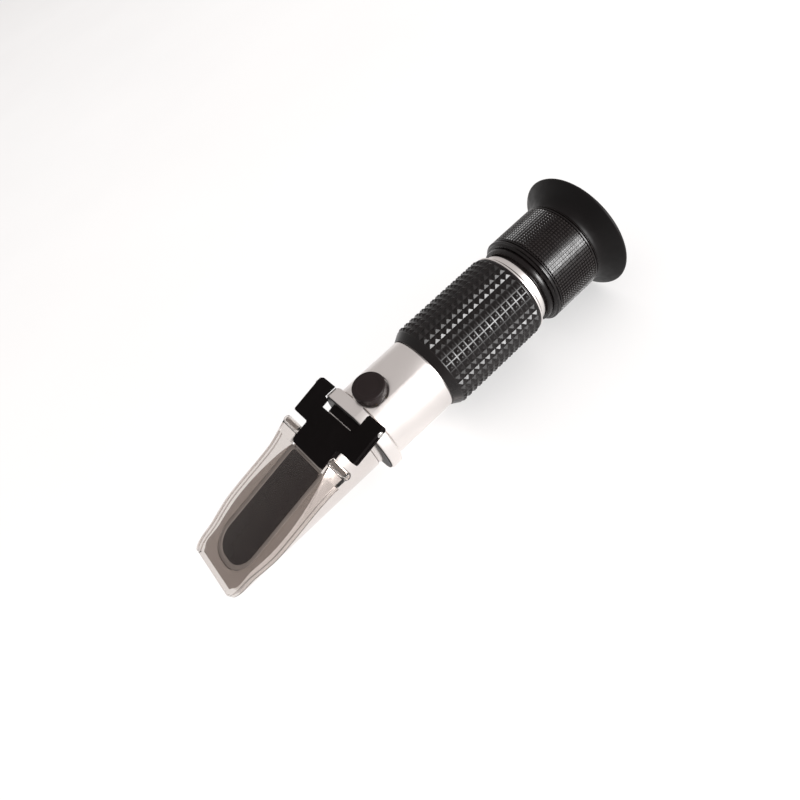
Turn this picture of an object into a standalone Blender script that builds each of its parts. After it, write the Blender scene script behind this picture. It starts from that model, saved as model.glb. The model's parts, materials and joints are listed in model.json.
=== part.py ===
"""Handheld refractometer with a hinged daylight plate, a turning eyepiece and a capped calibration screw.

All sizes below are millimetres in the axis frame: X runs along the optical axis towards the eye, Z points
to the prism side, and the instrument is symmetric about Y = 0. The row frame has the same directions, and
its origin is the centre of the collar's lower spanner flat. Two tilted frames hang from it: the face frame,
whose X runs along the sloping prism face and whose origin is the hinge axis, and the tube frame, turned
about the optical axis by the angle at which the tube stops when it is screwed home on the head.
"""

import math

import bmesh
import bpy
from mathutils import Vector

MM = 0.001

# Driving dimensions: the outside.
GAP = 0.3                   # between touching pieces
FINE_GAP = 0.12             # round a pin that turns
HEAD_RADIUS = 11.0
HEAD_FRONT = -56.6
HEAD_REAR = 0.5
COLLAR_RADIUS = 14.8
COLLAR_FRONT, COLLAR_REAR = 0.2, 4.4
FLAT_HEIGHT = 12.6          # spanner flats, above and below the axis
TUBE_FRONT = 1.4
TUBE_RADIUS = 12.8
TUBE_BORE = 10.3
TUBE_ROLL = math.radians(11.2)
GRIP_FRONT, GRIP_REAR = 27.5, 65.1
GRIP_RADIUS = 15.0
TAIL_REAR = 68.8
RING_FRONT = 69.5
KNURL_FRONT, KNURL_REAR = 72.2, 90.8
KNURL_RADIUS = 15.6
EYECUP_RIM = 97.4
EYECUP_REAR = 98.5
EYECUP_RADIUS = 20.7

# The sloping face and what lies on it, in the face frame.
FACE_SLOPE = math.atan(0.2)
HINGE_X = -12.6
FACE_DROP = 1.4             # from the hinge axis down to the prism face
FACE_HEIGHT_AT_HINGE = 6.88
HINGE_Z = FACE_HEIGHT_AT_HINGE + FACE_DROP / math.cos(FACE_SLOPE)
STEP_X = -2.1               # behind this the head is a full cylinder again
PLATE_THICK = 1.6
PLATE_FRONT = -46.6
PLATE_BEND = -9.6           # from here the plate climbs to its knuckles
PLATE_CLIMB = 0.06
PLATE_WEB_REAR = -4.2
LIP_THICK = 1.0
LIP_DEPTH = 2.4
EAR_INNER, EAR_OUTER = 9.1, 17.2
KNUCKLE_RADIUS = 1.35
PIN_RADIUS = 0.6
BLOCK_TOP = 1.0
TONGUE_HALF = 8.6
TONGUE_FRONT = -3.5
LOBE_FRONT, LOBE_REAR = 3.75, 17.0
LOBE_INNER, LOBE_OUTER = 9.4, 17.0
WINDOW_HALF = 7.55
WINDOW_FRONT, WINDOW_REAR = -41.0, -5.0
GASKET_WIDTH = 1.35
GASKET_DEPTH = 1.5

# The focusing thread, the calibration screw and what they move.
NECK_RADIUS = 12.4
NECK_BORE = 9.9
BARREL_RADIUS = 9.6
BARREL_BORE = 8.2
LENS_RADIUS = 7.9
CALIBRATION_X = 9.7
CAP_RADIUS = 5.1
CAP_TOP = 15.2
SPOT_FACE = 11.6
CELL_X = 12.0

ROUND = 36                  # sides of a large turned piece
SMALL_ROUND = 24

# (colour, roughness, metallic, transmission)
FINISHES = {
    "satin_aluminium": ((0.72, 0.70, 0.68), 0.35, 1.0, 0.0),
    "black_plastic": ((0.012, 0.011, 0.011), 0.35, 0.0, 0.0),
    "black_rubber": ((0.02, 0.018, 0.018), 0.6, 0.0, 0.0),
    "black_anodised": ((0.015, 0.014, 0.014), 0.35, 0.6, 0.0),
    "clear_acrylic": ((0.62, 0.56, 0.52), 0.25, 0.0, 0.6),
    "optical_glass": ((0.75, 0.8, 0.85), 0.05, 0.0, 0.9),
    "prism_glass": ((0.05, 0.04, 0.04), 0.08, 0.0, 0.2),
    "sealant": ((0.30, 0.27, 0.25), 0.6, 0.0, 0.0),
    "steel": ((0.55, 0.55, 0.55), 0.3, 1.0, 0.0),
    "brass": ((0.75, 0.55, 0.25), 0.35, 1.0, 0.0),
}


# ---------------------------------------------------------------- helpers

def material(name):
    found = bpy.data.materials.get(name)
    if found:
        return found
    colour, roughness, metallic, transmission = FINISHES[name]
    made = bpy.data.materials.new(name)
    made.use_nodes = True
    shader = made.node_tree.nodes["Principled BSDF"]
    shader.inputs["Base Color"].default_value = (*colour, 1)
    shader.inputs["Roughness"].default_value = roughness
    shader.inputs["Metallic"].default_value = metallic
    shader.inputs["Transmission Weight"].default_value = transmission
    return made


def frame_empty(name, location, rotation, parent=None):
    empty = bpy.data.objects.new(name, None)
    empty.location = Vector(location) * MM
    empty.rotation_euler = rotation
    empty.parent = parent
    bpy.context.scene.collection.objects.link(empty)
    return empty


def make_object(name, bm, finish, parent, pivot=(0, 0, 0)):
    """An object from a mesh in millimetres of the parent's frame, with its origin at the pivot."""
    bmesh.ops.translate(bm, verts=bm.verts, vec=-Vector(pivot))
    bmesh.ops.scale(bm, verts=bm.verts, vec=(MM, MM, MM))
    bmesh.ops.recalc_face_normals(bm, faces=bm.faces)
    mesh = bpy.data.meshes.new(name)
    bm.to_mesh(mesh)
    bm.free()
    mesh.materials.append(material(finish))
    mesh.shade_smooth()
    mesh.set_sharp_from_angle(angle=math.radians(35))
    made = bpy.data.objects.new(name, mesh)
    made.location = Vector(pivot) * MM
    made.parent = parent
    bpy.context.scene.collection.objects.link(made)
    return made


def joined(target, other, operation):
    """Cuts other from target, or joins it, and keeps other as a hidden tool."""
    other.hide_render = True
    other.display_type = "WIRE"
    modifier = target.modifiers.new(f"{operation.lower()}_{other.name}", "BOOLEAN")
    modifier.operation = operation
    modifier.solver = "EXACT"
    modifier.object = other


def cut(target, other):
    joined(target, other, "DIFFERENCE")


def join(target, other):
    joined(target, other, "UNION")


def turned(profile, segments=ROUND, axis="X", centre=(0, 0)):
    """A mesh turned from (along, radius) points: a closed ring of wall, or a solid where they reach radius 0.

    centre is where the axis crosses the plane of the other two directions.
    """
    bm = bmesh.new()
    rings = []
    for along, radius in profile:
        if radius == 0:
            rings.append([bm.verts.new(on_axis(axis, along, 0, 0, centre))])
            continue
        angles = [2 * math.pi * step / segments for step in range(segments)]
        points = [
            on_axis(axis, along, radius * math.sin(angle), radius * math.cos(angle), centre)
            for angle in angles
        ]
        rings.append([bm.verts.new(point) for point in points])
    closed = profile[0][1] > 0
    pairs = list(zip(rings, rings[1:] + rings[:1])) if closed else list(zip(rings, rings[1:]))
    for first, second in pairs:
        for step in range(segments):
            after = (step + 1) % segments
            corners = [
                first[step % len(first)],
                first[after % len(first)],
                second[after % len(second)],
                second[step % len(second)],
            ]
            bm.faces.new(list(dict.fromkeys(corners)))
    return bm


def on_axis(axis, along, across, up, centre):
    if axis == "X":
        return Vector((along, centre[0] + across, centre[1] + up))
    if axis == "Y":
        return Vector((centre[0] + across, along, centre[1] + up))
    return Vector((centre[0] + across, centre[1] + up, along))


def extruded(outline, low, high):
    """A mesh from an outline of (x, y) points, between two heights."""
    bm = bmesh.new()
    face = bm.faces.new([bm.verts.new((x, y, low)) for x, y in outline])
    raised = bmesh.ops.extrude_face_region(bm, geom=[face])["geom"]
    verts = [item for item in raised if isinstance(item, bmesh.types.BMVert)]
    bmesh.ops.translate(bm, verts=verts, vec=(0, 0, high - low))
    return bm


def box(low, high):
    outline = [(low[0], low[1]), (high[0], low[1]), (high[0], high[1]), (low[0], high[1])]
    return extruded(outline, low[2], high[2])


def arc(centre, radius, start, end, steps):
    """Points on an arc, with the angles in degrees."""
    for step in range(steps + 1):
        angle = math.radians(start + (end - start) * step / steps)
        yield centre[0] + radius * math.cos(angle), centre[1] + radius * math.sin(angle)


def mirrored(half):
    """A closed outline from the points of its +Y half."""
    return list(half) + [(x, -y) for x, y in reversed(half)]


def interpolate(stations, x):
    for (x0, value0), (x1, value1) in zip(stations, stations[1:]):
        if x <= x1:
            return value0 + (value1 - value0) * (x - x0) / (x1 - x0)
    return stations[-1][1]


# ---------------------------------------------------------------- head and prism

# Half the plate's width along the face, from the front edge to the knuckles.
PLATE_HALF_WIDTHS = [
    (PLATE_FRONT, 10.9), (PLATE_FRONT + 0.6, 11.6), (-38.2, 13.3), (-31.5, 14.9), (-29.0, 15.25),
    (-24.0, 15.4), (PLATE_BEND, 15.5), (-6.5, 15.9), (0.0, EAR_OUTER),
]
TABLE_HALF_WIDTHS = [
    (-46.0, 9.6), (-45.2, 10.2), (-38.2, 11.9), (-30.0, 13.6), (-26.0, 13.9), (-20.0, 13.7),
    (-11.5, 12.4), (-5.0, 10.4), (-2.4, 8.9),
]


def window_outline(spread):
    """The prism's outline on the face, grown by spread: a rectangle whose front end is round."""
    half = WINDOW_HALF + spread
    corner = 4.4 + spread
    inner = half - corner
    front = list(arc((WINDOW_FRONT + 4.4, inner), corner, 90, 180, 6))
    back = list(arc((WINDOW_REAR - 1.0, half - 1.0 - spread), 1.0 + spread, 0, 90, 2))
    return mirrored(back + front)


def build_head(axis_frame, face_frame):
    nose = list(arc((HEAD_FRONT + 3.0, HEAD_RADIUS - 3.0), 3.0, 180, 90, 4))
    spigot_rear, spigot_radius = 5.5, 9.7
    bore_front, narrow_bore, wide_bore, bore_step = -19.0, 5.2, 7.5, -6.0
    profile = [(HEAD_FRONT, 0), *nose, (HEAD_REAR, HEAD_RADIUS), (HEAD_REAR, spigot_radius),
               (spigot_rear, spigot_radius), (spigot_rear, wide_bore), (bore_step, wide_bore),
               (bore_step, narrow_bore), (bore_front, narrow_bore), (bore_front, 0)]
    head = make_object("prism_head", turned(profile), "satin_aluminium", axis_frame)

    table_depth = 5.2
    table = extruded(mirrored(TABLE_HALF_WIDTHS[::-1]), -FACE_DROP - table_depth, -FACE_DROP + 2)
    for vert in table.verts:
        if vert.co.z < -FACE_DROP - 1:
            vert.co.y *= 0.72
            vert.co.x = -24 + (vert.co.x + 24) * 0.93
    join(head, make_object("table_tool", table, "satin_aluminium", face_frame))

    above = box((-60, -30, -FACE_DROP), ((STEP_X - HINGE_X) / math.cos(FACE_SLOPE), 30, 40))
    for vert in above.verts:
        if vert.co.x > 0 and vert.co.z > 0:
            vert.co.x += math.tan(FACE_SLOPE) * 40 + 0.28
    cut(head, make_object("face_tool", above, "satin_aluminium", face_frame))

    gasket_seat = extruded(
        window_outline(GASKET_WIDTH + 0.15 + GAP), -FACE_DROP - GASKET_DEPTH - GAP, 2
    )
    cut(head, make_object("gasket_seat_tool", gasket_seat, "sealant", face_frame))
    pocket = prism_mesh(GAP)
    cut(head, make_object("prism_pocket_tool", pocket, "sealant", face_frame))


def prism_mesh(spread):
    """The prism: its outline on the face, deep at the rear and shallow at the front."""
    front_depth, rear_depth = 2.6, 8.6
    bm = extruded(window_outline(spread), -rear_depth, -FACE_DROP + 4 * spread)
    for vert in bm.verts:
        if vert.co.z < -rear_depth + 0.1:
            share = (vert.co.x - WINDOW_FRONT) / (WINDOW_REAR - WINDOW_FRONT)
            vert.co.z = -FACE_DROP - front_depth - (rear_depth - front_depth) * share - spread
    return bm


def build_prism(face_frame):
    make_object("prism", prism_mesh(0), "prism_glass", face_frame)
    gasket = extruded(
        window_outline(GASKET_WIDTH + 0.15), -FACE_DROP - GASKET_DEPTH, -FACE_DROP - 0.1
    )
    seal = make_object("prism_gasket", gasket, "sealant", face_frame)
    hole = extruded(window_outline(0.15), -FACE_DROP - 2 * GASKET_DEPTH, 0)
    cut(seal, make_object("gasket_hole_tool", hole, "sealant", face_frame))


# ---------------------------------------------------------------- daylight plate and hinge

def climb(x):
    return max(0.0, x - PLATE_BEND) * PLATE_CLIMB


def plate_loft(underside):
    """The plate's sheet with a lip down each side, as a row of U sections."""
    top, lip_bottom = underside + PLATE_THICK, underside + PLATE_THICK - LIP_DEPTH
    stations = [x for x, _ in PLATE_HALF_WIDTHS if x < PLATE_WEB_REAR] + [PLATE_WEB_REAR]
    bm = bmesh.new()
    sections = []
    for x in stations:
        half = interpolate(PLATE_HALF_WIDTHS, x)
        inner = half - LIP_THICK
        side = [(inner, underside), (inner, lip_bottom), (half, lip_bottom), (half, top)]
        loop = side + [(-y, z) for y, z in reversed(side)]
        sections.append([bm.verts.new((x, y, z + climb(x))) for y, z in loop])
    for first, second in zip(sections, sections[1:]):
        for i in range(len(first)):
            after = (i + 1) % len(first)
            bm.faces.new((first[i], first[after], second[after], second[i]))
    bm.faces.new(sections[0])
    bm.faces.new(reversed(sections[-1]))
    return bm


def build_plate(face_frame):
    underside = -FACE_DROP + GAP
    plate = make_object("daylight_plate", plate_loft(underside), "clear_acrylic", face_frame)
    arm_front = PLATE_WEB_REAR - 2.0
    for name, side in (("left", 1), ("right", -1)):
        outline = [
            (arm_front, EAR_INNER), (0.0, EAR_INNER), (0.0, EAR_OUTER),
            (arm_front, interpolate(PLATE_HALF_WIDTHS, arm_front) - 0.05),
        ]
        arm = extruded([(x, side * y) for x, y in outline], underside + 0.05, underside + PLATE_THICK - 0.05)
        for vert in arm.verts:
            vert.co.z += climb(vert.co.x)
        join(plate, make_object(f"arm_{name}_tool", arm, "clear_acrylic", face_frame))
        ends = (side * EAR_INNER, side * (EAR_OUTER + 0.1))
        knuckle = turned(
            [(ends[0], 0), (ends[0], KNUCKLE_RADIUS), (ends[1], KNUCKLE_RADIUS), (ends[1], 0)], 20, "Y"
        )
        join(plate, make_object(f"knuckle_{name}_tool", knuckle, "clear_acrylic", face_frame))
    drill = pin_mesh(PIN_RADIUS + FINE_GAP, 2 * EAR_OUTER)
    cut(plate, make_object("plate_drill_tool", drill, "clear_acrylic", face_frame))


def pin_mesh(radius, half_length):
    profile = [(-half_length, 0), (-half_length, radius), (half_length, radius), (half_length, 0)]
    return turned(profile, 20, "Y")


def build_hinge(axis_frame, face_frame):
    bottom = -FACE_DROP + GAP
    corner = 1.3
    half = [
        *arc((LOBE_REAR - corner, LOBE_OUTER - corner), corner, 0, 90, 3),
        *arc((LOBE_FRONT + corner * 0.5, LOBE_OUTER - corner * 0.5), corner * 0.5, 90, 180, 2),
        (LOBE_FRONT, TONGUE_HALF + 0.6),
        (LOBE_FRONT - 0.3, TONGUE_HALF),
        *arc((TONGUE_FRONT + corner, TONGUE_HALF - corner), corner, 90, 180, 3),
    ]
    centre_rear = 9.9
    recess = [(centre_rear, -LOBE_INNER), (centre_rear, LOBE_INNER)]
    outline = half + [(x, -y) for x, y in reversed(half)] + [(LOBE_REAR, -LOBE_INNER)] + recess
    outline.append((LOBE_REAR, LOBE_INNER))
    block = make_object("hinge_block", extruded(outline, bottom, BLOCK_TOP), "black_plastic", face_frame)
    cut(block, make_object(
        "block_drill_tool", pin_mesh(PIN_RADIUS + FINE_GAP, TONGUE_HALF + 2), "steel", face_frame
    ))
    clear = COLLAR_RADIUS + GAP
    collar_space = turned([(COLLAR_FRONT - GAP, 0), (COLLAR_FRONT - GAP, clear), (9, clear), (9, 0)])
    cut(block, make_object("collar_space_tool", collar_space, "steel", axis_frame))

    screw_x, screw_z, screw_radius = LOBE_REAR - 2.3, 0.02, 0.62
    for name, side in (("left", 1), ("right", -1)):
        inner, shoulder, outer = (side * d for d in (13.6, LOBE_OUTER + 0.15, LOBE_OUTER + 0.55))
        shank = [(inner, 0), (inner, screw_radius), (shoulder, screw_radius)]
        screw = turned(
            shank + [(shoulder, 0.95), (outer, 0.75), (outer, 0)], 16, "Y", (screw_x, screw_z)
        )
        make_object(f"block_screw_{name}", screw, "steel", face_frame)
        hole_end = side * (LOBE_OUTER + 3)
        hole_radius = screw_radius + FINE_GAP
        hole = turned(
            [(side * 12.0, 0), (side * 12.0, hole_radius), (hole_end, hole_radius), (hole_end, 0)],
            16, "Y", (screw_x, screw_z),
        )
        cut(block, make_object(f"screw_hole_{name}_tool", hole, "steel", face_frame))
    make_object("hinge_pin", pin_mesh(PIN_RADIUS, EAR_OUTER - 0.4), "steel", face_frame)


# ---------------------------------------------------------------- body

def build_collar(axis_frame):
    """The nut that clamps the tube to the head, and the flat seal between their ends."""
    thread, lip_bore, lip_rear, front_chamfer, chamfer = 11.9, HEAD_RADIUS + GAP, 0.7, 0.3, 0.5
    outer = COLLAR_RADIUS
    profile = [
        (COLLAR_FRONT, lip_bore), (COLLAR_FRONT, outer - front_chamfer),
        (COLLAR_FRONT + front_chamfer, outer), (COLLAR_REAR - chamfer, outer),
        (COLLAR_REAR, outer - chamfer), (COLLAR_REAR, thread), (lip_rear, thread), (lip_rear, lip_bore),
    ]
    collar = make_object("collar_nut", turned(profile, 48), "satin_aluminium", axis_frame)
    for name, low, high in (("top", FLAT_HEIGHT, 20), ("bottom", -20, -FLAT_HEIGHT)):
        flat = box((-5, -20, low), (10, 20, high))
        cut(collar, make_object(f"flat_{name}_tool", flat, "satin_aluminium", axis_frame))
    seal_front, seal_rear, seal_bore = HEAD_REAR + GAP, TUBE_FRONT - GAP, 10.0
    seal = [(seal_front, seal_bore), (seal_front, lip_bore), (seal_rear, lip_bore), (seal_rear, seal_bore)]
    make_object("head_seal", turned(seal), "black_rubber", axis_frame)


def build_tube(tube_frame):
    thread_radius, rear_radius, rear_bore = 11.6, 12.4, 11.1
    rear_bore_front = 58.5
    profile = [
        (TUBE_FRONT, TUBE_BORE), (TUBE_FRONT, thread_radius), (COLLAR_REAR + GAP, thread_radius),
        (COLLAR_REAR + GAP, TUBE_RADIUS - 0.3), (COLLAR_REAR + 0.6, TUBE_RADIUS),
        (GRIP_FRONT - GAP, TUBE_RADIUS), (GRIP_FRONT - GAP, rear_radius), (GRIP_REAR, rear_radius),
        (GRIP_REAR, rear_bore), (rear_bore_front, rear_bore), (rear_bore_front, TUBE_BORE),
    ]
    tube = make_object("main_tube", turned(profile, 48), "satin_aluminium", tube_frame)
    spot_radius, hole_radius = CAP_RADIUS + 0.5, 3.7
    spot = turned(
        [(SPOT_FACE, 0), (SPOT_FACE, spot_radius), (16, spot_radius), (16, 0)],
        SMALL_ROUND, "Z", (CALIBRATION_X, 0),
    )
    cut(tube, make_object("spot_face_tool", spot, "satin_aluminium", tube_frame))
    hole = turned(
        [(6, 0), (6, hole_radius), (16, hole_radius), (16, 0)], SMALL_ROUND, "Z", (CALIBRATION_X, 0)
    )
    cut(tube, make_object("bush_hole_tool", hole, "satin_aluminium", tube_frame))


def build_grip(tube_frame):
    inner, lip = 12.7, 0.9
    front = [(GRIP_FRONT, 13.3), (GRIP_FRONT + 2.1, 14.7), (GRIP_FRONT + 2.6, GRIP_RADIUS)]
    rear = [(x, r) for x, r in arc((GRIP_REAR - lip, GRIP_RADIUS - lip), lip, 90, 0, 3)]
    profile = [(GRIP_FRONT, inner), *front, *rear, (GRIP_REAR, inner)]
    make_object("grip_sleeve", turned(profile, 48), "black_rubber", tube_frame)

    flange_front, flange_rear, flange_radius, ring_radius = GRIP_REAR + GAP, 66.1, 13.9, 12.9
    bore = 11.1
    profile = [
        (flange_front, bore), (flange_front, flange_radius - 0.3), (flange_front + 0.3, flange_radius),
        (flange_rear, flange_radius), (flange_rear, ring_radius), (TAIL_REAR - 0.3, ring_radius),
        (TAIL_REAR, ring_radius - 0.3), (TAIL_REAR, bore),
    ]
    make_object("tail_ring", turned(profile), "satin_aluminium", tube_frame)


# ---------------------------------------------------------------- calibration screw and objective

def build_calibration(tube_frame):
    at = (CALIBRATION_X, 0)
    cap_bottom, wall_inner, roof = SPOT_FACE + GAP, 3.75, 14.2
    dome = [(CAP_TOP - 0.5, CAP_RADIUS), (CAP_TOP - 0.12, CAP_RADIUS - 0.2), (CAP_TOP, CAP_RADIUS - 0.7)]
    cap = [(roof, 0), (roof, wall_inner), (cap_bottom, wall_inner), (cap_bottom, CAP_RADIUS), *dome,
           (CAP_TOP, 0)]
    make_object(
        "screw_cap", turned(cap, 36, "Z", at), "black_rubber", tube_frame, (CALIBRATION_X, 0, cap_bottom)
    )

    boss_radius, boss_top, bush_bottom, seat = 3.4, 13.7, 9.7, 11.6
    bush = [(bush_bottom, 1.5), (bush_bottom, boss_radius), (boss_top - 0.3, boss_radius),
            (boss_top, boss_radius - 0.3), (boss_top, 1.95), (seat, 1.95), (seat, 1.5)]
    make_object("calibration_bush", turned(bush, SMALL_ROUND, "Z", at), "brass", tube_frame)

    shank, head, screw_top, screw_bottom = 1.2, 1.65, 13.3, 7.3
    screw = make_object(
        "calibration_screw",
        turned([(screw_bottom, 0), (screw_bottom, shank), (seat + GAP, shank), (seat + GAP, head),
                (screw_top, head), (screw_top, 0)], SMALL_ROUND, "Z", at),
        "steel", tube_frame, (CALIBRATION_X, 0, seat + GAP),
    )
    slot = box((CALIBRATION_X - 3, -0.25, screw_top - 0.6), (CALIBRATION_X + 3, 0.25, screw_top + 1))
    cut(screw, make_object("slot_tool", slot, "steel", tube_frame))


def build_carriage(tube_frame):
    """The objective's carriage, which the calibration screw shifts across the tube."""
    ring_front, ring_rear, ring_radius, ring_bore = CELL_X, CELL_X + 6, 9.0, 7.4
    arm_bottom, arm_top = 7.2, 9.0
    ring = turned([(ring_front, ring_bore), (ring_front, ring_radius),
                   (ring_rear, ring_radius), (ring_rear, ring_bore)])
    carriage = make_object("optics_carriage", ring, "black_anodised", tube_frame)
    arm = box((CALIBRATION_X - 2.4, -2.4, arm_bottom + 0.35), (ring_front + 1.5, 2.4, arm_top - 0.1))
    join(carriage, make_object("arm_tool", arm, "black_anodised", tube_frame))
    thread = turned([(4, 0), (4, 1.5), (12, 1.5), (12, 0)], 16, "Z", (CALIBRATION_X, 0))
    cut(carriage, make_object("thread_tool", thread, "black_anodised", tube_frame))
    pad, strip_thick, strip_half = -8.1, 0.4, 2.4
    flat = box((ring_front - 1, -5, -12), (ring_rear + 1, 5, pad))
    cut(carriage, make_object("pad_tool", flat, "black_anodised", tube_frame))

    strip_front, strip_rear = ring_front + 0.4, 37.0
    strip_top = pad - GAP
    strip = make_object(
        "bimetal_strip",
        box((strip_front, -strip_half, strip_top - strip_thick), (strip_rear, strip_half, strip_top)),
        "brass", tube_frame,
    )
    for name, x in (("front", ring_front + 1.7), ("rear", ring_front + 4.3)):
        bottom, head_top = strip_top - strip_thick - 0.45, strip_top - strip_thick - 0.1
        screw = turned([(bottom, 0), (bottom, 0.9), (head_top, 0.9), (head_top, 0.45),
                        (pad + 0.35, 0.45), (pad + 0.35, 0)], 16, "Z", (x, 0))
        make_object(f"strip_screw_{name}", screw, "steel", tube_frame)
        hole = turned([(-12, 0), (-12, 0.6), (pad + 0.65, 0.6), (pad + 0.65, 0)], 16, "Z", (x, 0))
        hole_tool = make_object(f"strip_hole_{name}_tool", hole, "steel", tube_frame)
        cut(carriage, hole_tool)
        cut(strip, hole_tool)

    cell_radius, cell_bore, lens_radius = ring_bore - GAP, 6.5, 6.3
    cell_front, cell_rear, stop_bore = ring_front - 0.9, ring_rear + 1.2, 5.7
    cell = [(cell_front, stop_bore), (cell_front, cell_radius), (cell_rear, cell_radius),
            (cell_rear, cell_bore), (cell_front + 1.0, cell_bore), (cell_front + 1.0, stop_bore)]
    make_object("objective_cell", turned(cell, SMALL_ROUND), "black_anodised", tube_frame)
    make_object("objective_lens", lens_mesh(cell_front + 1.3, 3.6, lens_radius, 0.9), "optical_glass",
                tube_frame)

    guide_front, guide_rear, guide_radius, guide_bore = 33.0, 38.0, TUBE_BORE - GAP, 7.2
    ring = turned([(guide_front, guide_bore), (guide_front, guide_radius),
                   (guide_rear, guide_radius), (guide_rear, guide_bore)])
    guide = make_object("strip_guide_ring", ring, "black_anodised", tube_frame)
    slot = box((guide_front - 1, -strip_half - 0.3, -9.35), (guide_rear + 1, strip_half + 0.3, -7.85))
    cut(guide, make_object("strip_slot_tool", slot, "black_anodised", tube_frame))


def lens_mesh(front, thickness, radius, bulge, front_share=1.0):
    """A lens on the axis whose rim is thinner than its middle by a bulge on each side."""
    rear = front + thickness
    front_bulge = bulge * front_share

    def cap(x, depth, toward):
        shares = (0.0, 0.35, 0.7, 1.0)
        return [(x + toward * depth * share * share, radius * share) for share in shares]

    return turned(cap(front, front_bulge, 1) + cap(rear, bulge, -1)[::-1], SMALL_ROUND)


def build_reticle(tube_frame):
    front, seat, rear = 53.0, 54.8, 57.6
    outer, aperture, pocket, disc = TUBE_BORE - GAP, 7.2, 8.6, 8.3
    holder = [(front, aperture), (front, outer), (rear, outer), (rear, pocket), (seat, pocket),
              (seat, aperture)]
    make_object("reticle_holder", turned(holder), "black_anodised", tube_frame)
    glass = [(seat + GAP, 0), (seat + GAP, disc), (seat + 1.6, disc), (seat + 1.6, 0)]
    make_object("reticle", turned(glass, SMALL_ROUND), "optical_glass", tube_frame)
    clip = [(seat + 1.9, 7.4), (seat + 1.9, disc), (seat + 2.5, disc), (seat + 2.5, 7.4)]
    make_object("reticle_retainer", turned(clip, SMALL_ROUND), "black_anodised", tube_frame)


# ---------------------------------------------------------------- eyepiece

def build_neck(tube_frame):
    """The fixed black neck on which the focusing ring turns."""
    spigot_front, spigot_radius, neck_front, neck_rear = 59.5, 10.8, TAIL_REAR + GAP, 84.0
    groove_front, groove_rear, groove_radius = 74.0, 75.6, 11.4
    profile = [
        (spigot_front, NECK_BORE), (spigot_front, spigot_radius), (neck_front, spigot_radius),
        (neck_front, NECK_RADIUS), (groove_front, NECK_RADIUS),
        (groove_front, groove_radius), (groove_rear, groove_radius), (groove_rear, NECK_RADIUS),
        (neck_rear, NECK_RADIUS), (neck_rear, NECK_BORE),
    ]
    neck = make_object("focus_neck", turned(profile), "black_anodised", tube_frame)
    middle = (groove_front + groove_rear) / 2
    ring = [(x, r) for x, r in arc((middle, groove_radius + 0.75), 0.45, 0, 315, 7)]
    make_object("neck_o_ring", turned(ring, SMALL_ROUND), "black_rubber", tube_frame)

    pin_x, pin_radius, pin_inner, pin_outer = 78.0, 0.8, 8.7, 12.2
    pin = turned([(pin_inner, 0), (pin_inner, pin_radius), (pin_outer, pin_radius), (pin_outer, 0)],
                 16, "Z", (pin_x, 0))
    make_object("guide_pin", pin, "steel", tube_frame)
    hole_radius = pin_radius + FINE_GAP
    hole = turned([(9, 0), (9, hole_radius), (14, hole_radius), (14, 0)], 16, "Z", (pin_x, 0))
    cut(neck, make_object("pin_hole_tool", hole, "steel", tube_frame))
    return pin_x, pin_radius


def build_barrel(tube_frame, pin_x, pin_radius):
    """The keyed lens barrel, which slides without turning, and what it holds."""
    front, rear, stop_bore, stop_rear = 68.0, 86.3, 7.0, 69.6
    profile = [(front, stop_bore), (front, BARREL_RADIUS), (rear, BARREL_RADIUS), (rear, BARREL_BORE),
               (stop_rear, BARREL_BORE), (stop_rear, stop_bore)]
    barrel = make_object("eyepiece_barrel", turned(profile), "black_anodised", tube_frame)
    reach_front, reach_rear, key_half = 3.4, 0.4, pin_radius + FINE_GAP
    key = box((pin_x - reach_front - pin_radius, -key_half, 7.9),
              (pin_x + reach_rear + pin_radius, key_half, 11))
    cut(barrel, make_object("key_slot_tool", key, "black_anodised", tube_frame))

    field_front, field_thick = stop_rear + GAP, 3.0
    spacer_front = field_front + field_thick + GAP
    eye_thick, retainer_front = 4.0, 84.6
    eye_front = retainer_front - GAP - eye_thick
    make_object("field_lens", lens_mesh(field_front, field_thick, LENS_RADIUS, 0.7, 0.2),
                "optical_glass", tube_frame)
    spacer = [(spacer_front, 7.1), (spacer_front, LENS_RADIUS), (eye_front - GAP, LENS_RADIUS),
              (eye_front - GAP, 7.1)]
    make_object("lens_spacer", turned(spacer, SMALL_ROUND), "black_anodised", tube_frame)
    make_object("eye_lens", lens_mesh(eye_front, eye_thick, LENS_RADIUS, 1.1), "optical_glass", tube_frame)
    lip_front, lip_rear, lip_radius, aperture = 88.75, 89.8, 10.4, 6.8
    retainer = [(retainer_front, aperture), (retainer_front, LENS_RADIUS), (lip_front, LENS_RADIUS),
                (lip_front, lip_radius), (lip_rear - 0.3, lip_radius), (lip_rear, lip_radius - 0.3),
                (lip_rear, aperture + 1.4)]
    make_object("lens_retainer", turned(retainer), "black_anodised", tube_frame)


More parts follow.
